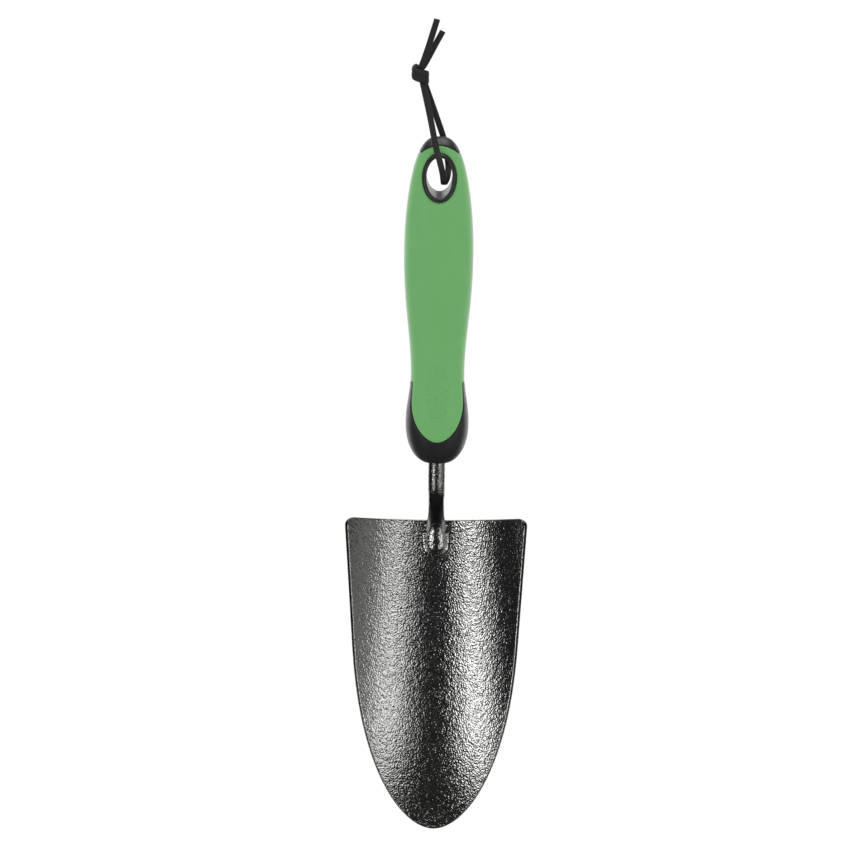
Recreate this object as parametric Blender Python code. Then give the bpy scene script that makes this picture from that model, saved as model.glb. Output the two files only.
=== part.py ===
"""Hand trowel: a dished steel blade on a cranked tang, and a two-part moulded handle on a lace.

Metres, +Z up.  The origin is the centre of the hang hole and Z is the handle's axis.  The
blade's hollow side faces -Y, and X = 0 is the plane of symmetry of everything but the lace.
"""
import math

import bmesh
import bpy
from mathutils import Matrix, Vector

MM = 0.001
X_AXIS = Vector((1.0, 0.0, 0.0))
GAP = 0.3 * MM  # clearance between neighbouring pieces

# Handle: heights from the hang hole, and (half-width, half-depth) at each of them
BUTT_Z = 17.5 * MM
SWELL_Z = -34.3 * MM
WAIST_Z = -91.6 * MM
COLLAR_Z = -114.5 * MM
NOSE_Z = -134.1 * MM  # where the collar's rounded end would close
MOUTH_Z = -133.1 * MM  # flat face that the tang comes out of
SWELL_SIZE = (15.8 * MM, 13.0 * MM)
WAIST_SIZE = (12.3 * MM, 11.4 * MM)
COLLAR_SIZE = (14.5 * MM, 13.0 * MM)
SECTION_POWER = 2.3  # 2 is an ellipse, more is squarer
BUTT_DOME = (1.8, 2.8)  # how late a rounded end starts to close in, and how bluntly it closes
NOSE_DOME = (2.2, 2.4)
WAIST_EASE = 1.2
CAP_DEPTH = 0.2 * MM  # under the butt's pole
HANDLE_COLUMNS = 56
GRIP_ROWS = 16
COLLAR_ROWS = 7
BUTT_ROWS = 4
FORM_ROWS = (10, 12)

# Soft grip: a sleeve between two seams, with a tongue front and back at each end
GRIP_THICKNESS = 2.0 * MM
UPPER_SEAM_Z = 10.4 * MM
UPPER_TONGUE = (3.8 * MM, 0.62)  # how far it reaches, and how rounded it is
LOWER_SEAM_Z = -95.2 * MM
LOWER_TONGUE = (-26.7 * MM, 0.44)
SEAM_GAP = 0.5 * MM
TONGUE_SPAN = 0.93  # share of the handle's width that a tongue takes
TONGUE_FADE = 0.35
SEAM_STEP = math.radians(2.0)

# Hang hole: an oblong bore with a raised rim
BORE_HALF = (5.9 * MM, 9.0 * MM)
RIM_HALF = (7.6 * MM, 10.7 * MM)
RIM_PROUD = 0.5 * MM
BORE_COLUMNS = 40
BORE_REACH = 20.0 * MM

# Blade: a trough tilted forward from the heel, where the tang meets its hollow side
HEEL = Vector((0.0, 17.0 * MM, -165.4 * MM))
BLADE_TILT = math.radians(18.0)
BLADE_LENGTH = 143.6 * MM
HEEL_HALF_WIDTH = 42.8 * MM
SIDE_TAPER = 0.069  # half-width lost per length, along the straight sides
POINT_START = 55.0 * MM  # where the sides start to curve in to the point
POINT_DOME = (2.55, 1.9)
POINT_FLAT = 0.15 * MM
CORNER_RADIUS = 4.0 * MM
HEEL_TROUGH = 56.0 * MM  # radius of the trough at the heel, opening out to the point
POINT_TROUGH = 77.0 * MM
SHEET = 2.0 * MM
DISH_START = 95.0 * MM
DISH = 5.0 * MM  # how far the point lifts out of the straight trough
BLADE_COLUMNS = 26
CORNER_ROWS = 4
SIDE_ROWS = 22

# Tang: a round rod, cranked back to the heel and flattened on the blade
ROD_HALF = 4.25 * MM
ROD_TOP_Z = -72.0 * MM
KEY_LENGTH = 14.0 * MM
KEY_SIZE = (6.2 * MM, 3.0 * MM)
KEY_TAPER = 2.0 * MM  # half the length over which the key becomes round
CRANK_Z = -148.0 * MM
CRANK_RADIUS = 9.0 * MM
CRANK_STEPS = 7
FOOT_SIZE = (4.8 * MM, 2.6 * MM)
FOOT_LENGTH = 15.6 * MM
FOOT_ROUND = 4.2 * MM  # length of the foot's rounded end
FOOT_LIFT = 3.2 * MM  # rod's centre line above the blade's hollow side
FOOT_STEPS = 5
FLATTENING_STEPS = 8
ROD_POWER = 2.2
ROD_COLUMNS = 20

# Weld bead round the foot
WELD_WIDTH = 2.4 * MM
WELD_HEIGHT = 1.5 * MM
WELD_TOE = 0.3 * MM  # height of the bead's outer edge
WELD_START = 3.0 * MM
WELD_RISE = 3.0 * MM  # length over which the bead grows to its full size
WELD_START_SHARE = 0.4
WELD_SIDE_STEPS = 4
WELD_END_STEPS = 14

# Lace: tied in a loop through the hang hole
LACE_HALF = (1.4 * MM, 0.6 * MM)
KNOT_CENTRE = Vector((-8.9 * MM, 0.0, 45.0 * MM))
KNOT_HALF = (3.7 * MM, 3.0 * MM, 4.6 * MM)
TAIL_TOPS = (70.5 * MM, 64.8 * MM)
LACE_CLEARANCE = 0.9 * MM  # between the lace and the rim, where the lace leaves the hole
LACE_POWER = 4.0
LACE_COLUMNS = 8
LACE_STEPS = 4


def remove_everything():
    for obj in list(bpy.data.objects):
        bpy.data.objects.remove(obj, do_unlink=True)


def material(name, colour, roughness, metallic=0.0):
    made = bpy.data.materials.new(name)
    made.use_nodes = True
    shader = made.node_tree.nodes["Principled BSDF"]
    shader.inputs["Base Color"].default_value = (*colour, 1.0)
    shader.inputs["Roughness"].default_value = roughness
    shader.inputs["Metallic"].default_value = metallic
    return made


def finish_object(name, bm, surface=None, crease=40.0):
    """Turn a bmesh into a smooth-shaded object with its faces pointing out."""
    bmesh.ops.recalc_face_normals(bm, faces=bm.faces)
    mesh = bpy.data.meshes.new(name)
    bm.to_mesh(mesh)
    bm.free()
    mesh.shade_smooth()
    mesh.set_sharp_from_angle(angle=math.radians(crease))
    obj = bpy.data.objects.new(name, mesh)
    bpy.context.collection.objects.link(obj)
    if surface:
        mesh.materials.append(surface)
    return obj


def add_rings(bm, rings):
    """Join rings of points, each to the next, and give the rings of new vertices back."""
    made = [[bm.verts.new(point) for point in ring] for ring in rings]
    for low, high in zip(made, made[1:]):
        join_rings(bm, low, high)
    return made


def join_rings(bm, low, high):
    count = len(low)
    for i in range(count):
        j = (i + 1) % count
        bm.faces.new((low[i], low[j], high[j], high[i]))


def loft(name, rings, surface=None, pole=None, crease=40.0):
    """A closed body through rings of points, with flat ends or a pole at its far end."""
    bm = bmesh.new()
    made = add_rings(bm, rings)
    bm.faces.new(made[0])
    if pole is None:
        bm.faces.new(made[-1])
    else:
        tip = bm.verts.new(pole)
        last = made[-1]
        for i, vert in enumerate(last):
            bm.faces.new((vert, last[(i + 1) % len(last)], tip))
    return finish_object(name, bm, surface, crease)


def smooth(share):
    share = min(max(share, 0.0), 1.0)
    return share * share * (3.0 - 2.0 * share)


def mix(start, end, share):
    return start + (end - start) * share


def signed_power(value, power):
    return math.copysign(abs(value) ** power, value)


def oval(angle, half_width, half_depth, power=2.0):
    """A point on a superellipse."""
    x = half_width * signed_power(math.cos(angle), 2.0 / power)
    y = half_depth * signed_power(math.sin(angle), 2.0 / power)
    return x, y


def angles(count):
    return [2.0 * math.pi * i / count for i in range(count)]


# ---------------------------------------------------------------- handle


def dome(share, rise, close):
    """1 where a rounded end starts and 0 at its tip."""
    return max(1.0 - share ** rise, 0.0) ** (1.0 / close)


def ease(share):
    return (1.0 - math.cos(math.pi * share)) / 2.0


def handle_half_size(z, side):
    """Half-width (side 0) or half-depth (side 1) of the handle at a height."""
    if z > SWELL_Z:
        share = (z - SWELL_Z) / (BUTT_Z - SWELL_Z)
        return SWELL_SIZE[side] * dome(share, *BUTT_DOME)
    if z > WAIST_Z:
        share = (SWELL_Z - z) / (SWELL_Z - WAIST_Z)
        return mix(SWELL_SIZE[side], WAIST_SIZE[side], ease(share ** WAIST_EASE))
    if z > COLLAR_Z:
        share = (WAIST_Z - z) / (WAIST_Z - COLLAR_Z)
        return mix(WAIST_SIZE[side], COLLAR_SIZE[side], ease(share))
    share = (COLLAR_Z - z) / (COLLAR_Z - NOSE_Z)
    return COLLAR_SIZE[side] * dome(share, *NOSE_DOME)


def handle_point(angle, z, inset=0.0):
    half_width = handle_half_size(z, 0) - inset
    half_depth = handle_half_size(z, 1) - inset
    x, y = oval(angle, half_width, half_depth, SECTION_POWER)
    return Vector((x, y, z))


def tongue(angle, power):
    """1 on the middle of the front and back, easing to 0 on the handle's sides."""
    across = abs(math.cos(angle)) ** (2.0 / SECTION_POWER) / TONGUE_SPAN
    if across >= 1.0:
        return 0.0
    arch = (1.0 - across * across) ** power
    return arch * smooth(arch / TONGUE_FADE)


def seam(angle, side_z, reach, power, gap):
    """Height of a seam, moved up by a gap that is measured square to the seam's line."""
    before, after = (reach * tongue(angle + turn, power) for turn in (-SEAM_STEP, SEAM_STEP))
    ahead = handle_point(angle + SEAM_STEP, side_z) - handle_point(angle - SEAM_STEP, side_z)
    steepness = (after - before) / ahead.length
    return side_z + reach * tongue(angle, power) + gap * math.hypot(1.0, steepness)


def upper_seam(gap):
    """The upper seam's height by angle, moved up by a gap."""
    return [seam(angle, UPPER_SEAM_Z, *UPPER_TONGUE, gap) for angle in angles(HANDLE_COLUMNS)]


def lower_seam(gap):
    """The lower seam's height by angle, moved up by a gap."""
    return [seam(angle, LOWER_SEAM_Z, *LOWER_TONGUE, gap) for angle in angles(HANDLE_COLUMNS)]


def level(z):
    return [z] * HANDLE_COLUMNS


def handle_rings(low, high, rows, inset, easing=False):
    """Rings between two lines round the handle, each given as heights by angle."""
    rings = []
    for row in range(rows + 1):
        share = row / rows
        if easing:
            share = math.sin(share * math.pi / 2.0)
        heights = [mix(bottom, top, share) for bottom, top in zip(low, high)]
        ring = [handle_point(angle, z, inset) for angle, z in zip(angles(HANDLE_COLUMNS), heights)]
        rings.append(ring)
    return rings


def handle_solid(name, inset):
    """The handle's whole outer form, as a guide body."""
    rings = handle_rings(level(MOUTH_Z), level(SWELL_Z), FORM_ROWS[0], inset)
    rings += handle_rings(level(SWELL_Z), level(BUTT_Z - CAP_DEPTH), FORM_ROWS[1], inset, True)[1:]
    return loft(name, rings, pole=Vector((0.0, 0.0, BUTT_Z - inset)))


def cross_bar(name, half_width, half_height):
    """An oval bar along Y through the hang hole's centre."""
    rings = []
    for y in (-BORE_REACH, BORE_REACH):
        ring = []
        for angle in angles(BORE_COLUMNS):
            x, z = oval(angle, half_width, half_height)
            ring.append(Vector((x, y, z)))
        rings.append(ring)
    return loft(name, rings)


def hide_guide(obj):
    obj.hide_render = True
    obj.display_type = "WIRE"


def cut(obj, tool, operation):
    hide_guide(tool)
    modifier = obj.modifiers.new(tool.name, "BOOLEAN")
    modifier.operation = operation
    modifier.solver = "EXACT"
    modifier.object = tool


def handle_core(surface):
    """Hard moulding: butt, raised rim, bore and collar, let in under the soft grip."""
    low = lower_seam(-SEAM_GAP / 2.0)
    high = upper_seam(SEAM_GAP / 2.0)
    collar = handle_rings(level(MOUTH_Z), low, COLLAR_ROWS, 0.0)
    let_in = handle_rings(low, high, GRIP_ROWS, GRIP_THICKNESS + 2.0 * GAP, True)
    butt = handle_rings(high, level(BUTT_Z - CAP_DEPTH), BUTT_ROWS, 0.0, True)
    core = loft("handle_core", collar + let_in + butt, surface, Vector((0.0, 0.0, BUTT_Z)))
    rim = cross_bar("rim_guide", *RIM_HALF)
    cut(rim, handle_solid("rim_form", -RIM_PROUD), "INTERSECT")
    cut(core, rim, "UNION")
    cut(core, cross_bar("bore_cutter", *BORE_HALF), "DIFFERENCE")
    cut(core, tang_body("socket_cutter", GAP), "DIFFERENCE")
    return core


def soft_grip(surface):
    """Soft sleeve moulded over the core, open where the rim comes through."""
    low = lower_seam(SEAM_GAP / 2.0)
    high = upper_seam(-SEAM_GAP / 2.0)
    outside = handle_rings(low, high, GRIP_ROWS, 0.0, True)
    inside = handle_rings(low, high, GRIP_ROWS, GRIP_THICKNESS, True)
    bm = bmesh.new()
    made = add_rings(bm, outside + inside[::-1])
    join_rings(bm, made[-1], made[0])
    grip = finish_object("soft_grip", bm, surface)
    clearance = cross_bar("rim_cutter", RIM_HALF[0] + GAP, RIM_HALF[1] + GAP)
    cut(grip, clearance, "DIFFERENCE")
    return grip


# ---------------------------------------------------------------- blade


def blade_down():
    return Vector((0.0, -math.sin(BLADE_TILT), -math.cos(BLADE_TILT)))


def blade_front():
    """The way the blade's hollow side faces on its centre line."""
    return Vector((0.0, -math.cos(BLADE_TILT), math.sin(BLADE_TILT)))


def blade_half_width(along):
    width = HEEL_HALF_WIDTH - SIDE_TAPER * along
    if along < CORNER_RADIUS:
        short = CORNER_RADIUS - along
        width += math.sqrt(CORNER_RADIUS ** 2 - short ** 2) - CORNER_RADIUS
    if along > POINT_START:
        share = (along - POINT_START) / (BLADE_LENGTH - POINT_START)
        width *= dome(min(share, 1.0), *POINT_DOME)
    return width


def trough_radius(along):
    return mix(HEEL_TROUGH, POINT_TROUGH, along / BLADE_LENGTH)


def blade_point(x, along, lift=0.0):
    """A point over the blade's hollow side: across, down from the heel, and off the sheet."""
    radius = trough_radius(along)
    flat = math.sqrt(radius ** 2 - x ** 2)
    past = max(along - DISH_START, 0.0) / (BLADE_LENGTH - DISH_START)
    rise = radius - flat + DISH * past ** 2
    normal = blade_front() * (flat / radius) - X_AXIS * (x / radius)
    return HEEL + blade_down() * along + X_AXIS * x + blade_front() * rise + normal * lift


def blade_rows():
    """Distances from the heel: close together at the corners and at the point."""
    quarter = math.pi / 2.0
    corner = [CORNER_RADIUS * (1.0 - math.cos(quarter * i / CORNER_ROWS)) for i in range(CORNER_ROWS)]
    rest = BLADE_LENGTH - CORNER_RADIUS
    sides = [CORNER_RADIUS + rest * math.sin(quarter * i / SIDE_ROWS) for i in range(SIDE_ROWS)]
    return corner + sides + [BLADE_LENGTH - POINT_FLAT]


def blade(surface):
    """The pressed sheet, with its edges cut square to the trough."""
    bm = bmesh.new()
    rings = []
    for along in blade_rows():
        radius = trough_radius(along)
        edge = blade_half_width(along) * radius / (radius + SHEET)
        across = [edge * (2.0 * i / BLADE_COLUMNS - 1.0) for i in range(BLADE_COLUMNS + 1)]
        front = [blade_point(x, along) for x in across]
        back = [blade_point(x, along, -SHEET) for x in reversed(across)]
        rings.append(front + back)
    made = add_rings(bm, rings)
    for ring in (made[0], made[-1]):
        for i in range(BLADE_COLUMNS):
            j = len(ring) - 1 - i
            bm.faces.new((ring[i], ring[i + 1], ring[j - 1], ring[j]))
    return finish_object("blade", bm, surface)


# ---------------------------------------------------------------- tang and weld


def rounded_path(corners, radius, steps):
    """Points along a line with its inner corners rounded to a radius."""
    points = [corners[0]]
    for before, corner, after in zip(corners, corners[1:], corners[2:]):
        arriving = (corner - before).normalized()
        leaving = (after - corner).normalized()
        turn = arriving.angle(leaving)
        start = corner - arriving * radius * math.tan(turn / 2.0)
        inward = (leaving - arriving * math.cos(turn)).normalized()
        centre = start + inward * radius
        for step in range(steps + 1):
            angle = turn * step / steps
            points.append(centre + (arriving * math.sin(angle) - inward * math.cos(angle)) * radius)
    points.append(corners[-1])
    return points


def tang_stations(extra):
    """Centres and half-sizes along the rod, from its key to its rounded foot."""
    round_start = HEEL + blade_front() * FOOT_LIFT + blade_down() * (FOOT_LENGTH - FOOT_ROUND)
    corners = [
        Vector((0.0, 0.0, ROD_TOP_Z + extra)),
        Vector((0.0, 0.0, CRANK_Z)),
        HEEL + blade_front() * FOOT_LIFT,
        round_start,
    ]
    path = rounded_path(corners, CRANK_RADIUS, CRANK_STEPS)
    key_end = ROD_TOP_Z - KEY_LENGTH
    path[1:1] = [Vector((0.0, 0.0, z)) for z in (key_end + KEY_TAPER, key_end - KEY_TAPER)]
    sizes = [KEY_SIZE, KEY_SIZE] + [(ROD_HALF, ROD_HALF)] * (len(path) - 2)
    for step in range(FLATTENING_STEPS):
        share = smooth((step + 1) / FLATTENING_STEPS)
        flattened = (mix(ROD_HALF, FOOT_SIZE[0], share), mix(ROD_HALF, FOOT_SIZE[1], share))
        sizes[len(path) - FLATTENING_STEPS + step] = flattened
    for step in range(1, FOOT_STEPS + 1):
        angle = math.pi / 2.0 * step / (FOOT_STEPS + 0.3)
        path.append(round_start + blade_down() * FOOT_ROUND * math.sin(angle))
        sizes.append((FOOT_SIZE[0] * math.cos(angle), FOOT_SIZE[1] * math.sqrt(math.cos(angle))))
    return path, sizes


def tang_body(name, extra, surface=None):
    """The rod, or with extra size the cavity that its upper end leaves in the core."""
    path, sizes = tang_stations(extra)
    rings = []
    for i, (centre, size) in enumerate(zip(path, sizes)):
        forward = (path[min(i + 1, len(path) - 1)] - path[max(i - 1, 0)]).normalized()
        normal = forward.cross(X_AXIS)
        ring = []
        for angle in angles(ROD_COLUMNS):
            side, up = oval(angle, size[0] + extra, size[1] + extra, ROD_POWER)
            ring.append(centre + X_AXIS * side + normal * up)
        rings.append(ring)
    return loft(name, rings, surface)


def weld_line():
    """Stations round the foot as (side, start, bend): down one side, round the end, up the other."""
    round_start = FOOT_LENGTH - FOOT_ROUND
    down = [mix(WELD_START, round_start, i / WELD_SIDE_STEPS) for i in range(WELD_SIDE_STEPS)]
    left = [(-1.0, start, 0.0) for start in down]
    turns = [math.pi * i / WELD_END_STEPS for i in range(WELD_END_STEPS + 1)]
    end = [(-math.cos(turn), round_start, math.sin(turn)) for turn in turns]
    right = [(1.0, start, 0.0) for start in reversed(down)]
    return left + end + right


def weld_bead(surface):
    """A fillet of weld metal along both sides and round the end of the tang's foot."""
    inner_x = FOOT_SIZE[0] + GAP
    inner_round = FOOT_ROUND + GAP
    rings = []
    for side, start, bend in weld_line():
        swell = mix(WELD_START_SHARE, 1.0, smooth((start - WELD_START) / WELD_RISE))
        width = WELD_WIDTH * swell
        near = Vector((inner_x * side, start + inner_round * bend))
        far = Vector(((inner_x + width) * side, start + (inner_round + width) * bend))
        rings.append([
            blade_point(*near, GAP),
            blade_point(*far, GAP),
            blade_point(*far, GAP + WELD_TOE),
            blade_point(*near.lerp(far, 0.4), GAP + WELD_HEIGHT / 2.0),
            blade_point(*near, GAP + WELD_HEIGHT),
        ])
    return loft("weld_bead", rings, surface)


# ---------------------------------------------------------------- lace


def spline(points, steps):
    """A smooth curve through points."""
    ends = [points[0] * 2.0 - points[1]] + points + [points[-1] * 2.0 - points[-2]]
    curve = []
    for a, b, c, d in zip(ends, ends[1:], ends[2:], ends[3:]):
        for step in range(steps):
            t = step / steps
            curve.append(
                0.5 * (2.0 * b + (c - a) * t + (2.0 * a - 5.0 * b + 4.0 * c - d) * t ** 2
                       + (3.0 * b - a - 3.0 * c + d) * t ** 3)
            )
    curve.append(points[-1])
    return curve


def lace_points():
    """From the long tail through the knot, down, through the hole, up and out again."""
    knot_x, _, knot_z = KNOT_CENTRE / MM
    long_top, short_top = (top / MM for top in TAIL_TOPS)
    mouth = (handle_half_size(0.0, 1) + RIM_PROUD + LACE_HALF[1] + LACE_CLEARANCE) / MM
    places = [
        (-1.7, -1.6, long_top),
        (-5.6, -1.4, mix(knot_z, long_top, 0.5)),
        (knot_x + 0.8, -1.2, knot_z + 3.0),
        (knot_x + 1.2, -1.4, knot_z - 3.0),
        (-4.4, -5.9, 26.8),
        (-1.8, -9.8, 14.5),
        (0.2, -mouth, 7.5),
        (1.3, -mouth + 0.4, 2.9),
        (1.9, -mouth + 3.6, -1.8),
        (2.4, 0.0, -3.6),
        (3.6, mouth - 5.5, -2.0),
        (4.0, mouth - 1.4, 0.8),
        (3.6, mouth + 0.1, 5.6),
        (2.0, 9.8, 14.5),
        (-2.0, 5.9, 26.8),
        (knot_x + 2.0, 1.4, knot_z - 3.0),
        (knot_x + 1.2, 1.2, knot_z + 3.0),
        (-2.8, 1.4, mix(knot_z, short_top, 0.66)),
        (0.9, 1.6, short_top),
    ]
    return [Vector(place) * MM for place in places]


def hang_lace(surface):
    """The flat lace as one swept body, with a plain lump for its overhand knot."""
    path = spline(lace_points(), LACE_STEPS)
    normal = Vector((0.0, -1.0, 0.0))
    rings = []
    for i, centre in enumerate(path):
        forward = (path[min(i + 1, len(path) - 1)] - path[max(i - 1, 0)]).normalized()
        normal = (normal - forward * normal.dot(forward)).normalized()
        side = forward.cross(normal)
        ring = []
        for angle in angles(LACE_COLUMNS):
            across, up = oval(angle + math.pi / LACE_COLUMNS, *LACE_HALF, LACE_POWER)
            ring.append(centre + side * across + normal * up)
        rings.append(ring)
    lace = loft("hang_lace", rings, surface)
    bm = bmesh.new()
    shape = Matrix.Translation(KNOT_CENTRE) @ Matrix.Diagonal((*KNOT_HALF, 1.0))
    bmesh.ops.create_uvsphere(bm, u_segments=14, v_segments=9, radius=1.0, matrix=shape)
    cut(lace, finish_object("knot_form", bm), "UNION")
    return lace


# ---------------------------------------------------------------- assembly


def build():
    remove_everything()
    steel = material("hammered_steel", (0.10, 0.10, 0.10), 0.32, 0.85)
    hard = material("black_moulding", (0.025, 0.025, 0.028), 0.45)
    soft = material("green_grip", (0.155, 0.40, 0.145), 0.6)
    cord = material("black_lace", (0.018, 0.018, 0.017), 0.75)
    pivot = bpy.data.objects.new("trowel_pivot", None)
    bpy.context.collection.objects.link(pivot)
    swinging = [
        blade(steel),
        tang_body("tang", 0.0, steel),
        weld_bead(steel),
        handle_core(hard),
        soft_grip(soft),
    ]
    for piece in swinging:
        piece.parent = pivot
    hang_lace(cord)


build()
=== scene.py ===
import math

import bmesh
import bpy
import numpy as np
from mathutils import Matrix, Vector, noise


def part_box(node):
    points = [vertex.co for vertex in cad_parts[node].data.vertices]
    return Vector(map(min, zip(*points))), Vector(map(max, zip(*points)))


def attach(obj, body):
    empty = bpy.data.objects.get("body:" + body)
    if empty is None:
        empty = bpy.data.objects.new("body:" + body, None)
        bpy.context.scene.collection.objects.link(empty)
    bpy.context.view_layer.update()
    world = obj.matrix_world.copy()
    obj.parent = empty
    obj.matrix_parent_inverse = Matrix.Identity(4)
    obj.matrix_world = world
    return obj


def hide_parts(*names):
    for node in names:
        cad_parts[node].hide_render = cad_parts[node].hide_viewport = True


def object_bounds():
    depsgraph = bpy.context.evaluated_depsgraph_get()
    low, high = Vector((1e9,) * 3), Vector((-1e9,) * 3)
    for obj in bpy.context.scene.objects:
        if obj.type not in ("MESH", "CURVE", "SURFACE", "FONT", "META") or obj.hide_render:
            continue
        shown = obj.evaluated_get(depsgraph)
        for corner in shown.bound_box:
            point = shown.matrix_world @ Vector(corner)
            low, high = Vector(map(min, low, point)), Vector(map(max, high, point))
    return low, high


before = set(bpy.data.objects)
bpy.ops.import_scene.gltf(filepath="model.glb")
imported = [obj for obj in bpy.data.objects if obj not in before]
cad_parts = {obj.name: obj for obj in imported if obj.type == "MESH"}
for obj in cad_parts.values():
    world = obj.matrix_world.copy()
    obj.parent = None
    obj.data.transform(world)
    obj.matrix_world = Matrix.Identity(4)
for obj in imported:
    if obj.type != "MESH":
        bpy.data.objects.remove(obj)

CAD_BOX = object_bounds()

MM = 0.001
X_AXIS = Vector((1.0, 0.0, 0.0))

# Handle, from the frame's boxes, with the places between its ends
core_low, core_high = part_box("handle_core")
grip_low, grip_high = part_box("soft_grip")
BUTT_Z = core_high.z
MOUTH_Z = core_low.z
SWELL_Z = -34.3 * MM
WAIST_Z = -91.6 * MM
COLLAR_Z = -114.5 * MM
NOSE_Z = MOUTH_Z - 1.0 * MM
SWELL_SIZE = (grip_high.x, grip_high.y)
WAIST_SIZE = (12.3 * MM, 11.4 * MM)
COLLAR_SIZE = (14.5 * MM, 13.0 * MM)
SECTION_POWER = 2.3  # 2 is an ellipse, more is squarer
BUTT_DOME = (1.8, 2.8)  # how late a rounded end starts to close in, and how bluntly it closes
NOSE_DOME = (2.2, 2.4)
WAIST_EASE = 1.2  # above 1 keeps the swell full for longer
CORE_COLUMNS = 176
LEAST_HALF = 0.02 * MM
COLLAR_ROWS = 70
LET_IN_ROWS = 50
BUTT_ROWS = 44
CAP_DEPTH = 0.005 * MM  # how far the flat cap lies under the butt's top
MOUTH_EDGE = 0.8 * MM
SOCKET_GAP = 0.12 * MM

# Soft grip and the seams at its ends
GRIP_THICKNESS = 2.0 * MM
GRIP_CLEARANCE = 0.1 * MM
UPPER_SEAM_Z = 10.4 * MM
UPPER_TONGUE = (3.8 * MM, 0.62)  # how far it reaches, and the power that shapes its arch
LOWER_SEAM_Z = -95.2 * MM
LOWER_TONGUE = (grip_low.z - LOWER_SEAM_Z, 0.44)
TONGUE_SPAN = 0.93  # share of the handle's width that a tongue takes
TONGUE_FADE = 0.35  # the arch eases into the handle's side below this share of its height
SEAM_STEP = math.radians(2.0)
SEAM_GAP = 0.26 * MM
GRIP_EDGE = 0.75 * MM
CORE_EDGE = 0.4 * MM
GRIP_COLUMNS = 224
GRIP_ROWS = 250
GRIP_EDGE_SHARE = 0.006  # share of the grip's height that its close end rows take
GRIP_INNER_ROWS = 40

# Hang hole
BORE_HALF = (5.9 * MM, 9.0 * MM)
RIM_HALF = (7.6 * MM, 10.7 * MM)
RIM_PROUD = 0.5 * MM
RIM_GAP = 0.28 * MM
RIM_EDGES = (0.45 * MM, 0.75 * MM)  # radii of the rim's outer and inner edges
RIM_COLUMNS = 128
BORE_WALL = 0.9 * MM
BAR_COLUMNS = 96
BAR_REACH = 20.0 * MM

# Thumb pad: raised dots over an oval on the front of the grip
PAD_CENTRE_Z = -99.0 * MM
PAD_HALF = (6.0 * MM, 13.2 * MM)
DOT_PITCH = 1.8 * MM
DOT_RADIUS = 0.42 * MM
DOT_HEIGHT = 0.26 * MM
DOT_SINK = 0.6  # share of a dot's height that starts under the grip's surface
DOT_SIDES = 12
DOT_LEVELS = 5

# Blade
blade_low, blade_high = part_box("blade")
HEEL = Vector((0.0, 17.0 * MM, -165.4 * MM))
BLADE_TILT = math.radians(18.0)
BLADE_LENGTH = 143.6 * MM
HEEL_HALF_WIDTH = 42.8 * MM
SIDE_TAPER = 0.069
POINT_START = 55.0 * MM
POINT_DOME = (2.55, 1.9)
CORNER_RADIUS = 4.0 * MM
HEEL_TROUGH = 56.0 * MM
POINT_TROUGH = 77.0 * MM
SHEET = 2.0 * MM
DISH_START = 95.0 * MM
DISH = 5.0 * MM
SHEET_EDGE = 0.55 * MM
OUTLINE_STEPS = (200, 60, 100, 2000)  # along the heel, corner, side and point
BLADE_GRID = (164, 270)
GRID_CORNERS = (0.229, 0.944)  # shares of half the outline where the grid's corners lie
EDGE_STEPS = 5
EDGE_MARGIN = 3  # loops at each side of the rounded edge that keep the lighter base colour
EDGE_NAME = "dark_edge_wall"
HAMMER_CELL = 1.7 * MM
HAMMER_DEPTH = 0.035 * MM

# Tang and weld
ROD_HALF = 4.25 * MM
ROD_TOP_Z = -110.0 * MM
CRANK_Z = -148.0 * MM
CRANK_RADIUS = 9.0 * MM
FOOT_HALF = (4.8 * MM, 2.6 * MM)
FOOT_LENGTH = 15.6 * MM
FOOT_ROUND = 4.2 * MM
FOOT_LIFT = 3.2 * MM
FLATTENING = 11.0 * MM
ROD_POWER = 2.2
ROD_COLUMNS = 64
ROD_STEP = 0.5 * MM
CRANK_STEPS = 16
TIP_STEPS = 14
SMOOTHING = 5  # stations that are averaged along the rod
WELD_WIDTH = 2.5 * MM
WELD_HEIGHT = 1.1 * MM
WELD_START = 2.6 * MM
WELD_RISE = 4.0 * MM  # length over which the weld grows to its full size
WELD_LIP = 0.35 * MM  # the height of the weld's edge, and how deep its underside is sunk
WELD_SIDE_STEPS = 26
WELD_END_STEPS = 56
WELD_PROFILE_STEPS = 16

# Lace
LACE_HALF = (1.4 * MM, 0.6 * MM)
KNOT_CENTRE = Vector((-8.9 * MM, 0.0, 45.0 * MM))
LACE_TOP_Z = 70.45 * MM
SHORT_TAIL_Z = 64.8 * MM
LACE_CLEARANCE = 0.5 * MM
LACE_COLUMNS = 20
LACE_STEPS = 12

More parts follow.
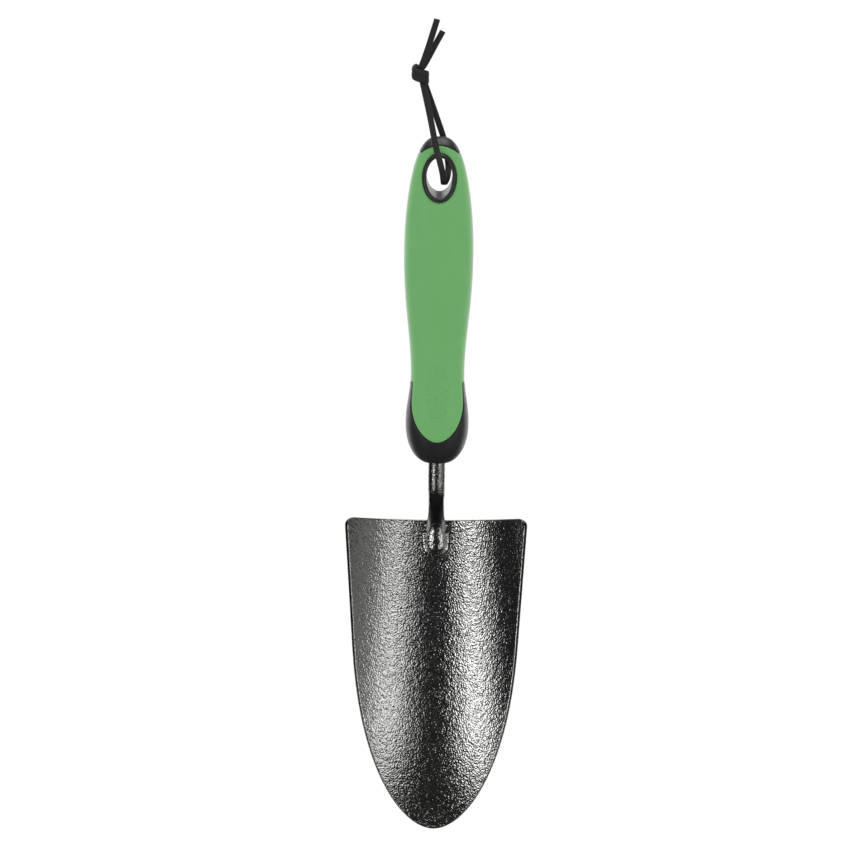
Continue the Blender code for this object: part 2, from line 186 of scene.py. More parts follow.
# Camera and studio
VIEW_ELEVATION = math.radians(13.0)
VIEW_ROLL = math.radians(0.54)
VIEW_DISTANCE = 1.5
VIEW_TARGET = Vector((-2.3 * MM, 8.0 * MM, -121.1 * MM))
LENS = 135.0
SENSOR = 36.0
CLIPPING = (0.01, 200.0)
FLOOR_DROP = 0.9
FLOOR_HALF = 60.0
PAPER_WHITE = 1.12
GLOSS_BEHIND = (0.05, 0.8, 0.024, 0.34)  # the direction's Y from and to, brightness from and to
GLOSS_ABOVE = (0.74, 0.95, 0.0, 3.2)  # the same for the direction's Z
BOX_DISTANCE = 1.7
CORE_DISTANCE = 1.6
SOFT_BOXES = {  # azimuths from the front to +X and elevations in degrees, radiance, distance
    "right_box": ((17.0, 56.0), (-25.0, 23.0), 0.48, BOX_DISTANCE),
    "right_core": ((26.0, 46.0), (-4.0, 20.0), 1.55, CORE_DISTANCE),
    "right_side_box": ((58.0, 84.0), (-25.0, 22.0), 0.26, BOX_DISTANCE),
    "left_box": ((-48.0, -17.0), (-25.0, 23.0), 0.58, BOX_DISTANCE),
    "left_core": ((-39.0, -23.5), (-4.0, 20.5), 2.85, CORE_DISTANCE),
    "right_rear_box": ((118.0, 174.0), (-30.0, 25.0), 1.55, BOX_DISTANCE),
    "left_rear_box": ((-174.0, -118.0), (-30.0, 25.0), 1.55, BOX_DISTANCE),
}


# ---------------------------------------------------------------- shared helpers


def ramp(value, start, end):
    """0 at start, 1 at end and straight between them."""
    return np.clip((value - start) / (end - start), 0.0, 1.0)


def smooth(share):
    """An S-shaped rise from 0 to 1."""
    share = np.clip(share, 0.0, 1.0)
    return share * share * (3.0 - 2.0 * share)


def mix(start, end, share):
    return start + (end - start) * share


def signed_power(value, power):
    return np.sign(value) * np.abs(value) ** power


def roll_off(distance, radius):
    """How far a rounded edge lies under its surface at a distance from the edge."""
    near = 1.0 - np.clip(distance / radius, 0.0, 1.0)
    return radius * (1.0 - np.sqrt(1.0 - near * near))


def turn_angles(count):
    return np.arange(count) * (2.0 * math.pi / count)


def eased_shares(count, edge_share, edge_count=6):
    """Shares from 0 to 1, closer together at both ends."""
    bend = np.linspace(0.0, 1.0, edge_count, endpoint=False)
    start = edge_share * (1.0 - np.cos(bend * math.pi / 2.0))
    middle = np.linspace(edge_share, 1.0 - edge_share, count)
    return np.concatenate([start, middle, 1.0 - start[::-1]])


def link(obj):
    bpy.context.scene.collection.objects.link(obj)
    return obj


def mesh_piece(name, points, faces):
    """A smooth-shaded piece with its faces turned outwards."""
    mesh = bpy.data.meshes.new(name)
    mesh.from_pydata(np.asarray(points).reshape(-1, 3).tolist(), [], faces)
    bm = bmesh.new()
    bm.from_mesh(mesh)
    bmesh.ops.recalc_face_normals(bm, faces=bm.faces)
    bm.to_mesh(mesh)
    bm.free()
    mesh.shade_smooth()
    mesh.update()
    return link(bpy.data.objects.new(name, mesh))


def band_faces(low, high):
    """Quads between two closed loops of vertex numbers."""
    return [
        (int(a), int(b), int(d), int(c))
        for a, b, c, d in zip(low, np.roll(low, -1), high, np.roll(high, -1))
    ]


def loft(name, rings, closed=False):
    """A body through rings of points: flat ends, or joined end to end if it is closed."""
    rings = np.asarray(rings)
    rows, columns = rings.shape[:2]
    index = np.arange(rows * columns).reshape(rows, columns)
    faces = []
    for low, high in zip(index, index[1:]):
        faces += band_faces(low, high)
    if closed:
        faces += band_faces(index[-1], index[0])
    else:
        faces += [tuple(index[0].tolist()), tuple(index[-1].tolist())]
    return mesh_piece(name, rings, faces)


def apply_modifiers(obj):
    """Replace a piece's mesh with the one that its modifiers make."""
    graph = bpy.context.evaluated_depsgraph_get()
    made = bpy.data.meshes.new_from_object(obj.evaluated_get(graph), depsgraph=graph)
    obj.modifiers.clear()
    obj.data = made
    made.shade_smooth()


def cut(obj, tool, operation):
    """Subtract a tool from a piece, or join it on. The tool is used up."""
    modifier = obj.modifiers.new(tool.name, "BOOLEAN")
    modifier.operation = operation
    modifier.solver = "EXACT"
    modifier.object = tool
    apply_modifiers(obj)
    bpy.data.objects.remove(tool)


def finish_piece(obj, surface, body, nodes, slot):
    """Give a piece its material, the body it rides on and the CAD nodes it replaces; the slot is not
    used.
    """
    obj.data.materials.clear()
    obj.data.materials.append(surface)
    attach(obj, body)
    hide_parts(*nodes)


# ---------------------------------------------------------------- handle's form


def dome(share, rise, close):
    """1 where a rounded end starts and 0 at its tip."""
    return np.maximum(1.0 - share ** rise, 0.0) ** (1.0 / close)


def ease(share):
    return (1.0 - np.cos(math.pi * share)) / 2.0


def handle_half_size(z, side):
    """Half-width (side 0) or half-depth (side 1) of the handle at a height."""
    z = np.asarray(z, float)
    swell, waist, collar = SWELL_SIZE[side], WAIST_SIZE[side], COLLAR_SIZE[side]
    to_waist = ease(ramp(z, SWELL_Z, WAIST_Z) ** WAIST_EASE)
    to_collar = ease(ramp(z, WAIST_Z, COLLAR_Z))
    grip = mix(swell, waist, to_waist) + (collar - waist) * to_collar
    nose = dome(ramp(z, COLLAR_Z, NOSE_Z), *NOSE_DOME)
    butt = dome(ramp(z, SWELL_Z, BUTT_Z), *BUTT_DOME)
    return grip * nose * butt


def handle_points(angle, z, inset=0.0):
    """Points round the handle at a height, moved in from its surface by an inset."""
    half_width = np.maximum(handle_half_size(z, 0) - inset, LEAST_HALF)
    half_depth = np.maximum(handle_half_size(z, 1) - inset, LEAST_HALF)
    x = half_width * signed_power(np.cos(angle), 2.0 / SECTION_POWER)
    y = half_depth * signed_power(np.sin(angle), 2.0 / SECTION_POWER)
    return np.stack(np.broadcast_arrays(x, y, z), axis=-1)


def handle_depth(x, z):
    """How far the handle's surface stands in front of its middle plane."""
    across = np.clip(np.abs(x) / handle_half_size(z, 0), 0.0, 1.0)
    return handle_half_size(z, 1) * (1.0 - across ** SECTION_POWER) ** (1.0 / SECTION_POWER)


def tongue(angle, power):
    """1 on the middle of the front and back, easing to 0 on the handle's sides."""
    across = np.abs(np.cos(angle)) ** (2.0 / SECTION_POWER) / TONGUE_SPAN
    arch = np.maximum(1.0 - across * across, 0.0) ** power
    return arch * smooth(arch / TONGUE_FADE)


def seam(angle, side_z, reach, power):
    """Height of a seam, and how steeply it crosses the handle there."""
    rise = reach * (tongue(angle + SEAM_STEP, power) - tongue(angle - SEAM_STEP, power))
    ahead = handle_points(angle + SEAM_STEP, side_z) - handle_points(angle - SEAM_STEP, side_z)
    steepness = rise / np.linalg.norm(ahead, axis=-1)
    return side_z + reach * tongue(angle, power), np.hypot(1.0, steepness)


def upper_seam(angle):
    return seam(angle, UPPER_SEAM_Z, *UPPER_TONGUE)


def lower_seam(angle):
    return seam(angle, LOWER_SEAM_Z, *LOWER_TONGUE)


def oval_loop(half_x, half_z, count):
    angle = turn_angles(count)
    return half_x * np.cos(angle), half_z * np.sin(angle)


def cross_bar(name, half_x, half_z):
    """An oval bar along Y through the hang hole's centre."""
    x, z = oval_loop(half_x, half_z, BAR_COLUMNS)
    rings = [np.stack([x, np.full_like(x, y), z], axis=-1) for y in (-BAR_REACH, BAR_REACH)]
    return loft(name, rings)


# ---------------------------------------------------------------- soft grip


def soft_grip():
    """The green sleeve, with rounded edges at both seams and round the hang hole."""
    angle = turn_angles(GRIP_COLUMNS)
    low, low_steep = lower_seam(angle)
    high, high_steep = upper_seam(angle)
    low = low + SEAM_GAP / 2.0 * low_steep
    high = high - SEAM_GAP / 2.0 * high_steep
    shares = eased_shares(GRIP_ROWS, GRIP_EDGE_SHARE)[:, None]
    z = mix(low, high, shares)
    from_seam = np.minimum((z - low) / low_steep, (high - z) / high_steep)
    inset = roll_off(from_seam, GRIP_EDGE)
    outside = handle_points(angle, z, inset)
    hole = (RIM_HALF[0] + RIM_GAP, RIM_HALF[1] + RIM_GAP)
    from_centre = np.hypot(outside[..., 0], z)
    oval = np.hypot(outside[..., 0] / hole[0], z / hole[1])
    from_hole = from_centre * (1.0 - 1.0 / np.maximum(oval, 0.01))
    outside = handle_points(angle, z, np.maximum(inset, roll_off(from_hole, GRIP_EDGE)))
    inner_z = mix(low, high, np.linspace(0.0, 1.0, GRIP_INNER_ROWS)[:, None])
    inside = handle_points(angle, inner_z, GRIP_THICKNESS)
    sleeve = loft("grip_sleeve", np.concatenate([outside, inside[::-1]]), closed=True)
    cut(sleeve, cross_bar("hole_cutter", *hole), "DIFFERENCE")
    return sleeve


def dot_places():
    """Staggered rows that fill the thumb pad's oval."""
    rise = DOT_PITCH * math.sqrt(3.0) / 2.0
    rows = int(PAD_HALF[1] / rise)
    columns = int(PAD_HALF[0] / DOT_PITCH) + 1
    places = []
    for row in range(-rows, rows + 1):
        for column in range(-columns, columns + 1):
            x = (column + 0.5 * (row % 2)) * DOT_PITCH
            z = row * rise
            if math.hypot(x / PAD_HALF[0], z / PAD_HALF[1]) <= 1.0:
                places.append((x, PAD_CENTRE_Z + z))
    return places


def surface_point(x, z):
    """A point on the front of the handle."""
    return Vector((x, -float(handle_depth(x, z)), z))


def thumb_dots():
    """Small raised domes on the front of the grip."""
    step = 0.05 * MM
    sides = turn_angles(DOT_SIDES)
    points = []
    faces = []
    for x, z in dot_places():
        centre = surface_point(x, z)
        across = (surface_point(x + step, z) - surface_point(x - step, z)).normalized()
        up = (surface_point(x, z + step) - surface_point(x, z - step)).normalized()
        out = across.cross(up).normalized()
        first = len(points)
        for level in np.linspace(0.0, 0.9, DOT_LEVELS) * math.pi / 2.0:
            radius = DOT_RADIUS * math.cos(level)
            lift = DOT_HEIGHT * (math.sin(level) * (1.0 + DOT_SINK) - DOT_SINK)
            for side in sides:
                spoke = across * math.cos(side) + up * math.sin(side)
                points.append(centre + spoke * radius + out * lift)
        loops = np.arange(first, len(points)).reshape(DOT_LEVELS, DOT_SIDES)
        faces.append(loops[0, ::-1].tolist())
        for low, high in zip(loops, loops[1:]):
            faces += band_faces(low, high)
        faces.append(loops[-1].tolist())
    return mesh_piece("thumb_dots", points, faces)


# ---------------------------------------------------------------- hard core


def core_form():
    """The core's outside: collar, the band let in under the grip, and butt."""
    angle = turn_angles(CORE_COLUMNS)
    low, low_steep = lower_seam(angle)
    high, high_steep = upper_seam(angle)
    low = low - SEAM_GAP / 2.0 * low_steep
    high = high + SEAM_GAP / 2.0 * high_steep
    collar_share = (1.0 - np.cos(np.linspace(0.0, 1.0, COLLAR_ROWS) * math.pi))[:, None] / 2.0
    collar_z = mix(MOUTH_Z, low, collar_share)
    edges = np.maximum(
        roll_off((low - collar_z) / low_steep, CORE_EDGE),
        roll_off(collar_z - MOUTH_Z, MOUTH_EDGE),
    )
    collar = handle_points(angle, collar_z, edges)
    let_in_z = mix(low, high, np.linspace(0.0, 1.0, LET_IN_ROWS)[:, None])
    let_in = handle_points(angle, let_in_z, GRIP_THICKNESS + GRIP_CLEARANCE)
    butt_share = np.sin(np.linspace(0.0, 1.0, BUTT_ROWS) * math.pi / 2.0)[:, None]
    butt_z = mix(high, BUTT_Z - CAP_DEPTH, butt_share)
    butt = handle_points(angle, butt_z, roll_off((butt_z - high) / high_steep, CORE_EDGE))
    return loft("core_moulding", np.concatenate([collar, let_in, butt]))


def rim_profile():
    """The rim's section as (share from bore to rim, depth under its crest), front edge to bore."""
    width = RIM_HALF[0] - BORE_HALF[0]
    outer, inner = RIM_EDGES
    profile = [(1.0, 2.6 * MM), (1.0, 1.4 * MM)]
    for turn in np.linspace(0.0, math.pi / 2.0, 7):
        share = 1.0 - outer * (1.0 - math.cos(turn)) / width
        profile.append((share, outer * (1.0 - math.sin(turn))))
    for turn in np.linspace(0.0, math.pi / 2.0, 9):
        share = inner * (1.0 - math.sin(turn)) / width
        profile.append((share, inner * (1.0 - math.cos(turn))))
    return profile + [(0.0, depth * MM) for depth in (1.4, 2.4, 3.8)]


def hole_rim():
    """The raised rim, front and back, with the bore's wall between."""
    bore_x, bore_z = oval_loop(*BORE_HALF, RIM_COLUMNS)
    rim_x, rim_z = oval_loop(*RIM_HALF, RIM_COLUMNS)
    front = []
    for share, depth in rim_profile():
        x = mix(bore_x, rim_x, share)
        z = mix(bore_z, rim_z, share)
        front.append(np.stack([x, depth - RIM_PROUD - handle_depth(x, z), z], axis=-1))
    front = np.array(front)
    back = front[::-1] * np.array([1.0, -1.0, 1.0])
    return loft("hole_rim", np.concatenate([front, back]), closed=True)


def hard_core():
    """The black moulding: collar, butt and rim, with the bore and the tang's socket."""
    core = core_form()
    bore = cross_bar("bore_cutter", BORE_HALF[0] + BORE_WALL, BORE_HALF[1] + BORE_WALL)
    cut(core, bore, "DIFFERENCE")
    cut(core, hole_rim(), "UNION")
    cut(core, tang_body("socket_cutter", SOCKET_GAP), "DIFFERENCE")
    return core


# ---------------------------------------------------------------- blade


def blade_down():
    return Vector((0.0, -math.sin(BLADE_TILT), -math.cos(BLADE_TILT)))


def blade_front():
    return Vector((0.0, -math.cos(BLADE_TILT), math.sin(BLADE_TILT)))


def trough_radius(along):
    return mix(HEEL_TROUGH, POINT_TROUGH, along / BLADE_LENGTH)


def blade_half_width(along):
    """Half the width of the hollow side at a distance from the heel."""
    width = HEEL_HALF_WIDTH - SIDE_TAPER * along
    short = np.maximum(CORNER_RADIUS - along, 0.0)
    width += np.sqrt(CORNER_RADIUS ** 2 - short ** 2) - CORNER_RADIUS
    width *= dome(ramp(along, POINT_START, BLADE_LENGTH), *POINT_DOME)
    radius = trough_radius(along)
    return width * radius / (radius + SHEET)


def blade_points(x, along, lift):
    """Points over the blade's hollow side: across, down from the heel, and off the sheet."""
    x, along, lift = (part[..., None] for part in np.broadcast_arrays(x, along, lift))
    radius = trough_radius(along)
    flat = np.sqrt(radius ** 2 - x ** 2)
    dish = DISH * (np.maximum(along - DISH_START, 0.0) / (BLADE_LENGTH - DISH_START)) ** 2
    front = np.array(blade_front())
    side = np.array(X_AXIS)
    normal = front * (flat / radius) - side * (x / radius)
    base = np.array(HEEL) + np.array(blade_down()) * along + side * x
    return base + front * (radius - flat + dish) + normal * lift


def blade_outline():
    """Half of the hollow side's outline, from the heel's middle round to the point."""
    heel_steps, corner_steps, side_steps, point_steps = OUTLINE_STEPS
    heel = np.linspace(0.0, float(blade_half_width(0.0)), heel_steps, endpoint=False)
    bend = np.linspace(0.0, math.pi / 2.0, corner_steps, endpoint=False)
    corner = CORNER_RADIUS * (1.0 - np.cos(bend))
    side = np.linspace(CORNER_RADIUS, POINT_START, side_steps, endpoint=False)
    point = mix(POINT_START, BLADE_LENGTH, np.sin(np.linspace(0.0, math.pi / 2.0, point_steps)))
    along = np.concatenate([corner, side, point])
    x = np.concatenate([heel, blade_half_width(along)])
    return np.stack([x, np.concatenate([np.zeros_like(heel), along])], axis=-1)


def resample(line, start, end, count):
    """Evenly spaced points on a line between two of its shares of length."""
    steps = np.linalg.norm(np.diff(line, axis=0), axis=1)
    length = np.concatenate([[0.0], np.cumsum(steps)])
    wanted = np.linspace(start, end, count) * length[-1]
    return np.stack([np.interp(wanted, length, line[:, i]) for i in range(2)], axis=-1)


def inset_line(line, distance):
    """A line moved to its right-hand side."""
    run = np.gradient(line, axis=0)
    run /= np.linalg.norm(run, axis=1)[:, None]
    return line + np.stack([-run[:, 1], run[:, 0]], axis=-1) * distance


def blade_boundary(columns, rows):
    """The outline as one loop of evenly spaced points: heel, right side, point, left side."""
    half = blade_outline()
    corner_share, point_share = GRID_CORNERS
    right = resample(half, corner_share, point_share, rows + 1)
    heel_half = resample(half, 0.0, corner_share, columns // 2 + 1)
    point_half = resample(half, point_share, 1.0, columns // 2 + 1)
    mirror = np.array([-1.0, 1.0])
    heel = np.concatenate([heel_half[:0:-1] * mirror, heel_half])
    point = np.concatenate([point_half, point_half[-2::-1] * mirror])
    left = right[::-1] * mirror
    return np.concatenate([heel[:-1], right[:-1], point[:-1], left[:-1]])


def fill_patch(loop, columns, rows):
    """A grid of points between the four sides of a loop."""
    heel = loop[: columns + 1]
    right = loop[columns : columns + rows + 1]
    point = loop[columns + rows : 2 * columns + rows + 1][::-1]
    left = np.concatenate([loop[2 * columns + rows :], loop[:1]])[::-1]
    u = np.linspace(0.0, 1.0, columns + 1)[None, :, None]
    v = np.linspace(0.0, 1.0, rows + 1)[:, None, None]
    between_ends = mix(heel[None], point[None], v)
    between_sides = mix(left[:, None], right[:, None], u)
    corners = mix(mix(heel[0], heel[-1], u), mix(point[0], point[-1], u), v)
    return between_ends + between_sides - corners


def patch_loop(columns, rows):
    """The numbers of a grid's outer vertices, in the loop's order."""
    index = np.arange((columns + 1) * (rows + 1)).reshape(rows + 1, columns + 1)
    parts = [index[0, :-1], index[:-1, -1], index[-1, :0:-1], index[:0:-1, 0]]
    return np.concatenate(parts)


def grid_faces(columns, rows, first):
    """Quads of a grid whose vertex numbers start at first."""
    index = np.arange((columns + 1) * (rows + 1)).reshape(rows + 1, columns + 1) + first
    quads = np.stack([index[:-1, :-1], index[:-1, 1:], index[1:, 1:], index[1:, :-1]], axis=-1)
    return [tuple(quad) for quad in quads.reshape(-1, 4).tolist()]


def blade_sheet():
    """The pressed sheet: two fine grids joined by a rounded edge all round."""
    columns, rows = BLADE_GRID
    outline = blade_boundary(columns, rows)
    closed = np.concatenate([outline[-1:], outline, outline[:1]])
    inner = inset_line(closed, SHEET_EDGE)[1:-1]
    outward = (outline - inner) / SHEET_EDGE
    patch = fill_patch(inner, columns, rows).reshape(-1, 2)
    parts = [blade_points(patch[:, 0], patch[:, 1], 0.0)]
    count = len(patch)
    loops = [patch_loop(columns, rows)]
    bends = np.linspace(0.0, math.pi / 2.0, EDGE_STEPS + 1)[1:]
    profile = [(SHEET_EDGE * math.sin(t), -SHEET_EDGE * (1.0 - math.cos(t))) for t in bends]
    profile += [(reach, -SHEET - lift) for reach, lift in profile[::-1]]
    for reach, lift in profile:
        ring = inner + outward * reach
        parts.append(blade_points(ring[:, 0], ring[:, 1], lift))
        loops.append(np.arange(count, count + len(ring)))
        count += len(ring)
    parts.append(blade_points(patch[:, 0], patch[:, 1], -SHEET))
    loops.append(patch_loop(columns, rows) + count)
    faces = grid_faces(columns, rows, 0) + grid_faces(columns, rows, count)
    for low, high in zip(loops, loops[1:]):
        faces += band_faces(low, high)
    sheet = mesh_piece("blade_sheet", np.concatenate(parts), faces)
    # Marks the sheet's edge wall, the middle loops of the rounded edge, which the paint gives a
    # darker base colour.
    edge = np.zeros(len(sheet.data.vertices), np.float32)
    edge[np.concatenate(loops[EDGE_MARGIN:-EDGE_MARGIN])] = 1.0
    sheet.data.attributes.new(EDGE_NAME, "FLOAT", "POINT").data.foreach_set("value", edge)
    return sheet


def hammer(obj):
    """Give a painted piece the low, rounded relief of a hammered finish."""
    verts = obj.data.vertices
    places = np.empty(len(verts) * 3, np.float32)
    normals = np.empty(len(verts) * 3, np.float32)
    verts.foreach_get("co", places)
    obj.data.vertex_normals.foreach_get("vector", normals)
    places, normals = places.reshape(-1, 3), normals.reshape(-1, 3)
    relief = []
    for place in places / HAMMER_CELL:
        place = Vector(place.tolist())
        wander = noise.noise(place * 0.6) * 0.8
        nearest = noise.voronoi(place + Vector((wander, -wander, wander)))[0][0]
        relief.append(0.5 - min(nearest, 1.0))
    places = places + normals * (np.array(relief) * HAMMER_DEPTH)[:, None]
    verts.foreach_set("co", places.astype(np.float32).ravel())
    obj.data.update()


# ---------------------------------------------------------------- tang and weld


def foot_end():
    return HEEL + blade_front() * FOOT_LIFT + blade_down() * FOOT_LENGTH


def rounded_path(corners, radius):
    """Points along a line with its inner corners rounded to a radius."""
    points = [corners[0]]
    for before, corner, after in zip(corners, corners[1:], corners[2:]):
        arriving = (corner - before).normalized()
        leaving = (after - corner).normalized()
        turn = arriving.angle(leaving)
        setback = radius * math.tan(turn / 2.0)
        inward = (leaving - arriving * math.cos(turn)).normalized()
        start = corner - arriving * setback
        centre = start + inward * radius
        for step in range(CRANK_STEPS + 1):
            angle = turn * step / CRANK_STEPS
            ahead = arriving * radius * math.sin(angle)
            points.append(centre - inward * radius * math.cos(angle) + ahead)
    points.append(corners[-1])
    return points


def tang_body(name, extra=0.0):
    """The rod from inside the collar to its flattened foot, or the same form a little larger."""
    corners = [
        Vector((0.0, 0.0, ROD_TOP_Z + extra)),
        Vector((0.0, 0.0, CRANK_Z)),
        HEEL + blade_front() * FOOT_LIFT,
        foot_end(),
    ]
    line = np.array([tuple(point) for point in rounded_path(corners, CRANK_RADIUS)])
    length = np.concatenate([[0.0], np.cumsum(np.linalg.norm(np.diff(line, axis=0), axis=1))])
    round_start = length[-1] - FOOT_ROUND
    body = np.arange(0.0, round_start, ROD_STEP)
    tip = round_start + FOOT_ROUND * np.sin(np.linspace(0.0, 0.99, TIP_STEPS) * math.pi / 2.0)
    stations = np.concatenate([body, tip])
    path = np.stack([np.interp(stations, length, line[:, i]) for i in range(3)], axis=-1)
    kernel = np.ones(SMOOTHING) / SMOOTHING
    margin = SMOOTHING // 2
    for i in range(3):
        padded = np.pad(path[: len(body), i], margin, mode="edge")
        path[margin : len(body) - margin, i] = np.convolve(padded, kernel, "valid")[margin:-margin]
    closing = ramp(stations, round_start, length[-1])
    flat = smooth(ramp(stations, round_start - FLATTENING, round_start))
    taper = np.sqrt(np.maximum(1.0 - closing ** 2, 0.0))
    half_width = mix(ROD_HALF, FOOT_HALF[0], flat) * taper + extra
    half_depth = mix(ROD_HALF, FOOT_HALF[1], flat) * np.sqrt(taper) + extra
    forward = np.gradient(path, axis=0)
    forward /= np.linalg.norm(forward, axis=1)[:, None]
    up = np.cross(forward, np.array(X_AXIS))
    angle = turn_angles(ROD_COLUMNS)
    across = signed_power(np.cos(angle), 2.0 / ROD_POWER)[None, :, None] * half_width[:, None, None]
    above = signed_power(np.sin(angle), 2.0 / ROD_POWER)[None, :, None] * half_depth[:, None, None]
    rings = path[:, None, :] + np.array(X_AXIS) * across + up[:, None, :] * above
    return loft(name, rings)


def weld_fillet():
    """Weld metal along both sides and round the end of the foot, sloping down onto the blade."""
    round_start = FOOT_LENGTH - FOOT_ROUND
    straight = np.linspace(WELD_START, round_start, WELD_SIDE_STEPS)
    bend = np.linspace(0.0, math.pi, WELD_END_STEPS)[1:-1]
    ones, zeros = np.ones(WELD_SIDE_STEPS), np.zeros(WELD_SIDE_STEPS)
    side = np.concatenate([-ones, -np.cos(bend), ones])
    start = np.concatenate([straight, np.full(len(bend), round_start), straight[::-1]])
    lead = np.concatenate([zeros, np.sin(bend), zeros])
    swell = mix(0.25, 1.0, smooth(ramp(start, WELD_START, WELD_START + WELD_RISE)))
    # The section as (share of the way out from the foot, share of the height)
    profile = [(-0.5, -0.1), (-0.5, 1.0)]
    for share in np.sin(np.linspace(0.0, math.pi / 2.0, WELD_PROFILE_STEPS)):
        edge = math.sqrt(1.0 - share ** 8)
        profile.append((share, (0.25 + 0.75 * (1.0 - share) ** 3) * edge))
    profile.append((1.02, -0.1))
    rings = []
    for share, height in profile:
        reach = WELD_WIDTH * share * np.where(share > 0.0, swell, 1.0)
        x = (FOOT_HALF[0] + reach) * side
        along = start + (FOOT_ROUND + reach) * lead
        lift = WELD_HEIGHT * height * swell + math.copysign(WELD_LIP, height)
        rings.append(blade_points(x, along, lift))
    return loft("weld_fillet", np.array(rings).transpose(1, 0, 2))


# ---------------------------------------------------------------- lace


def lace_path():
    """Places and facings along the lace: tail, knot, down, through the hole, up, knot, tail."""
    mouth = core_high.y + LACE_HALF[1] + LACE_CLEARANCE
    knot_x, _, knot_z = KNOT_CENTRE
    front = (0.0, -1.0, 0.0)
    back = (0.0, 1.0, 0.0)

    def knot(x, y, z):
        """A place in the knot, in millimetres from its centre."""
        return (knot_x + x * MM, y * MM, knot_z + z * MM)

    def outward(x, y):
        return (x, y, 0.0)

    def wrap(level, size):
        """Once round the knot from its upper left, seen from the front."""
        return [
            (knot(-2.2, -0.4, 4.0 * size), (-0.7, -0.5, 0.4)),
            (knot(-3.0, -1.2, level + 1.6), outward(-0.8, -0.6)),
            (knot(-1.5, -2.3, level + 0.7), outward(-0.3, -1.0)),
            (knot(1.2, -2.4, level), outward(0.3, -1.0)),
            (knot(3.0, -1.0, level - 0.4), outward(0.9, -0.3)),
            (knot(3.0, 1.0, level - 0.4), outward(0.9, 0.4)),
            (knot(1.0, 2.3, level), outward(0.3, 1.0)),
            (knot(-1.6, 2.1, level + 0.3), outward(-0.4, 1.0)),
        ]

    first_leg = [
        ((0.2 * MM, -mouth, 7.5 * MM), front),
        ((-1.8 * MM, -9.8 * MM, 14.5 * MM), (0.0, -1.0, -0.2)),
        ((-4.4 * MM, -5.9 * MM, 26.8 * MM), (0.1, -1.0, -0.3)),
        (knot(1.2, -1.4, -4.0), front),
        (knot(0.2, -0.6, 0.0), front),
    ]
    first_tail = [
        (knot(-1.2, 0.8, 2.2), (-0.3, 0.6, 0.6)),
        (knot(0.4, -0.6, 4.4), front),
        ((-5.6 * MM, -1.4 * MM, mix(knot_z, LACE_TOP_Z, 0.5)), front),
        ((-1.7 * MM, -1.6 * MM, LACE_TOP_Z), (0.4, -1.0, 0.0)),
    ]
    second_leg = [
        ((3.6 * MM, mouth + 0.1 * MM, 5.6 * MM), back),
        ((2.0 * MM, 9.8 * MM, 14.5 * MM), (0.0, 1.0, -0.2)),
        ((-2.0 * MM, 5.9 * MM, 26.8 * MM), (0.1, 1.0, -0.3)),
        (knot(2.0, 1.4, -4.0), back),
        (knot(0.8, 0.7, 0.0), back),
    ]
    second_tail = [
        (knot(-0.6, 1.4, 2.8), (0.0, 1.0, 0.3)),
        (knot(1.4, 1.0, 4.4), back),
        ((-2.8 * MM, 1.4 * MM, mix(knot_z, SHORT_TAIL_Z, 0.66)), (-0.5, 1.0, 0.0)),
        ((0.9 * MM, 1.6 * MM, SHORT_TAIL_Z), (-0.6, 1.0, 0.0)),
    ]
    bight = [
        ((1.3 * MM, -mouth + 0.4 * MM, 2.9 * MM), (0.0, -1.0, -0.2)),
        ((1.9 * MM, -mouth + 3.6 * MM, -1.8 * MM), (0.0, -0.6, -0.8)),
        ((2.4 * MM, 0.0, -3.6 * MM), (0.0, 0.0, -1.0)),
        ((3.6 * MM, mouth - 5.5 * MM, -2.0 * MM), (0.0, 0.5, -0.9)),
        ((4.0 * MM, mouth - 1.4 * MM, 0.8 * MM), (0.0, 0.9, -0.4)),
    ]
    upper = first_leg + wrap(1.0, 1.0) + first_tail
    lower = second_leg + wrap(-1.7, 0.6) + second_tail
    return upper[::-1] + bight + lower


def spline(points, steps):
    """A smooth curve through rows of numbers."""
    points = np.asarray(points, float)
    ends = np.concatenate([[points[0] * 2.0 - points[1]], points, [points[-1] * 2.0 - points[-2]]])
    t = np.linspace(0.0, 1.0, steps, endpoint=False)[:, None]
    curve = []
    for a, b, c, d in zip(ends, ends[1:], ends[2:], ends[3:]):
        bend = (2.0 * a - 5.0 * b + 4.0 * c - d) * t ** 2 + (3.0 * b - a - 3.0 * c + d) * t ** 3
        curve.append(0.5 * (2.0 * b + (c - a) * t + bend))
    return np.concatenate(curve + [points[-1:]])


def hang_lace():
    """The flat lace, swept along its path with its face turned the way the path says."""
    rows = np.array([place + facing for place, facing in lace_path()])
    curve = spline(rows, LACE_STEPS)
    path, facing = curve[:, :3], curve[:, 3:]
    forward = np.gradient(path, axis=0)
    forward /= np.linalg.norm(forward, axis=1)[:, None]
    facing = facing - forward * (facing * forward).sum(axis=1)[:, None]
    facing /= np.linalg.norm(facing, axis=1)[:, None]
    side = np.cross(forward, facing)
    angle = turn_angles(LACE_COLUMNS)
    across = LACE_HALF[0] * signed_power(np.cos(angle), 0.5)[None, :, None]
    above = LACE_HALF[1] * signed_power(np.sin(angle), 0.5)[None, :, None]
    rings = path[:, None, :] + side[:, None, :] * across + facing[:, None, :] * above
    return loft("lace_strap", rings)


# ---------------------------------------------------------------- materials


